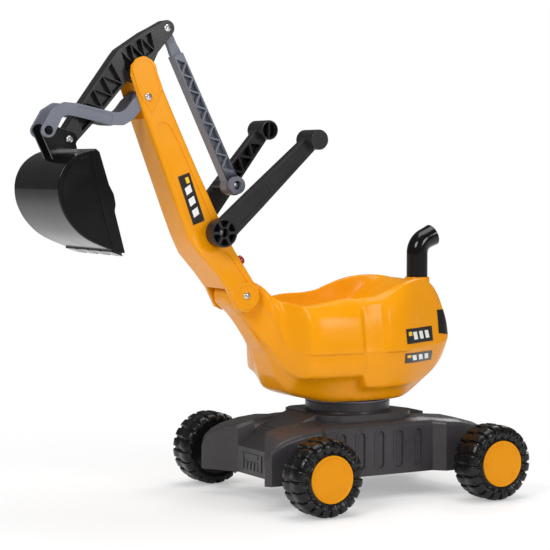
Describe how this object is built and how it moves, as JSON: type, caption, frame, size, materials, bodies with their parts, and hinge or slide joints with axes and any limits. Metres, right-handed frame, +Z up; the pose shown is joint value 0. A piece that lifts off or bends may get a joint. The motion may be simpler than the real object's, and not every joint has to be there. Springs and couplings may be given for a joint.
{
  "type": "ride-on toy digger",
  "caption": "Ride-on toy digger: a bucket seat swivels on a wheeled undercarriage, and hand levers raise the boom and swing the stick and bucket through a push rod and link.",
  "frame": {"origin": "on the ground, under the middle of the whole digger as it stands with its boom raised", "axes": "+Z up; the boom and bucket point along -Y and the tail along +Y; +X is the rider's left"},
  "size_m": [0.429, 0.768, 0.7585],
  "materials": {
    "yellow_body": "satin",
    "dark_frame": "satin",
    "black_gloss": "gloss",
    "grey_link": "satin",
    "red_knob": "gloss",
    "zinc_steel": "satin"
  },
  "bodies": {
    "undercarriage": {"chassis_cover": "dark_frame", "swivel_slip_ring": "grey_link", "king_bolt": "zinc_steel", "king_bolt_nut": "zinc_steel", "front_axle_sleeve": "dark_frame", "rear_axle_sleeve": "dark_frame", "front_axle": "zinc_steel", "rear_axle": "zinc_steel", "axle_clip_front_left": "zinc_steel", "axle_clip_front_right": "zinc_steel", "axle_clip_rear_left": "zinc_steel", "axle_clip_rear_right": "zinc_steel"},
    "wheel_front_left": {"tyre_front_left": "black_gloss", "hub_cap_front_left": "yellow_body"},
    "wheel_front_right": {"tyre_front_right": "black_gloss", "hub_cap_front_right": "yellow_body"},
    "wheel_rear_left": {"tyre_rear_left": "black_gloss", "hub_cap_rear_left": "yellow_body"},
    "wheel_rear_right": {"tyre_rear_right": "black_gloss", "hub_cap_rear_right": "yellow_body"},
    "house": {"house_shell": "yellow_body", "exhaust_pipe": "black_gloss"},
    "boom": {"boom_shell": "yellow_body", "lever_left": "dark_frame", "boom_base_bolt": "zinc_steel", "boom_base_bolt_nut": "zinc_steel", "link_bolt": "zinc_steel", "link_bolt_nut": "zinc_steel", "lever_bolt": "zinc_steel", "lever_bolt_nut": "zinc_steel", "stick_pivot_pin": "zinc_steel"},
    "control_lever": {"lever_right": "dark_frame", "rod_low_screw": "zinc_steel"},
    "drive_rod": {"push_rod": "grey_link"},
    "dipper": {"stick": "dark_frame", "rod_top_bolt": "zinc_steel", "rod_top_bolt_nut": "zinc_steel", "bucket_bolt": "zinc_steel", "bucket_bolt_nut": "zinc_steel"},
    "bucket_link": {"link_plate_left": "grey_link", "link_plate_right": "grey_link", "link_spacer": "grey_link"},
    "digging_bucket": {"bucket": "black_gloss"},
    "knob": {"lock_knob": "red_knob"}
  },
  "joints": [
    {"name": "front_left_wheel_spin", "type": "hinge", "parent": "undercarriage", "child": "wheel_front_left", "pos_m": [0.1845, 0.0065, 0.0605], "axis": [1, 0, 0], "continuous": true},
    {"name": "front_right_wheel_spin", "type": "hinge", "parent": "undercarriage", "child": "wheel_front_right", "pos_m": [-0.1845, 0.0065, 0.0605], "axis": [1, 0, 0], "continuous": true},
    {"name": "rear_left_wheel_spin", "type": "hinge", "parent": "undercarriage", "child": "wheel_rear_left", "pos_m": [0.1845, 0.3235, 0.0605], "axis": [1, 0, 0], "continuous": true},
    {"name": "rear_right_wheel_spin", "type": "hinge", "parent": "undercarriage", "child": "wheel_rear_right", "pos_m": [-0.1845, 0.3235, 0.0605], "axis": [1, 0, 0], "continuous": true},
    {"name": "house_swivel", "type": "hinge", "parent": "undercarriage", "child": "house", "pos_m": [0, 0.165, 0.155], "axis": [0, 0, 1], "continuous": true},
    {"name": "boom_lift", "type": "hinge", "parent": "house", "child": "boom", "pos_m": [0, -0.047, 0.331], "axis": [1, 0, 0], "range_deg": [0, 70]},
    {"name": "lever_swing", "type": "hinge", "parent": "boom", "child": "control_lever", "pos_m": [0, -0.096, 0.431], "axis": [1, 0, 0], "range_deg": [-24, 3]},
    {"name": "rod_swing", "type": "hinge", "parent": "control_lever", "child": "drive_rod", "pos_m": [0, -0.051, 0.504], "axis": [1, 0, 0], "range_deg": [-4, 25.5]},
    {"name": "stick_swing", "type": "hinge", "parent": "boom", "child": "dipper", "pos_m": [0, -0.217, 0.678], "axis": [1, 0, 0], "range_deg": [-25, 4]},
    {"name": "link_swing", "type": "hinge", "parent": "boom", "child": "bucket_link", "pos_m": [0, -0.2114, 0.6393], "axis": [1, 0, 0], "range_deg": [-29, 4.5]},
    {"name": "bucket_curl", "type": "hinge", "parent": "dipper", "child": "digging_bucket", "pos_m": [0, -0.336, 0.574], "axis": [1, 0, 0], "range_deg": [-32, 5]},
    {"name": "lock_knob_push", "type": "slide", "parent": "boom", "child": "knob", "axis": [0, -0.8961, -0.4439], "range_m": [0, 0.005], "stiffness_N_per_m": 400}
  ],
  "couplings": [
    {"joint": "stick_swing", "follows": "lever_swing", "ratio": 1.0094},
    {"joint": "rod_swing", "follows": "lever_swing", "ratio": -1.0211},
    {"joint": "bucket_curl", "follows": "lever_swing", "ratio": 1.2759},
    {"joint": "link_swing", "follows": "lever_swing", "ratio": 1.1654}
  ]
}
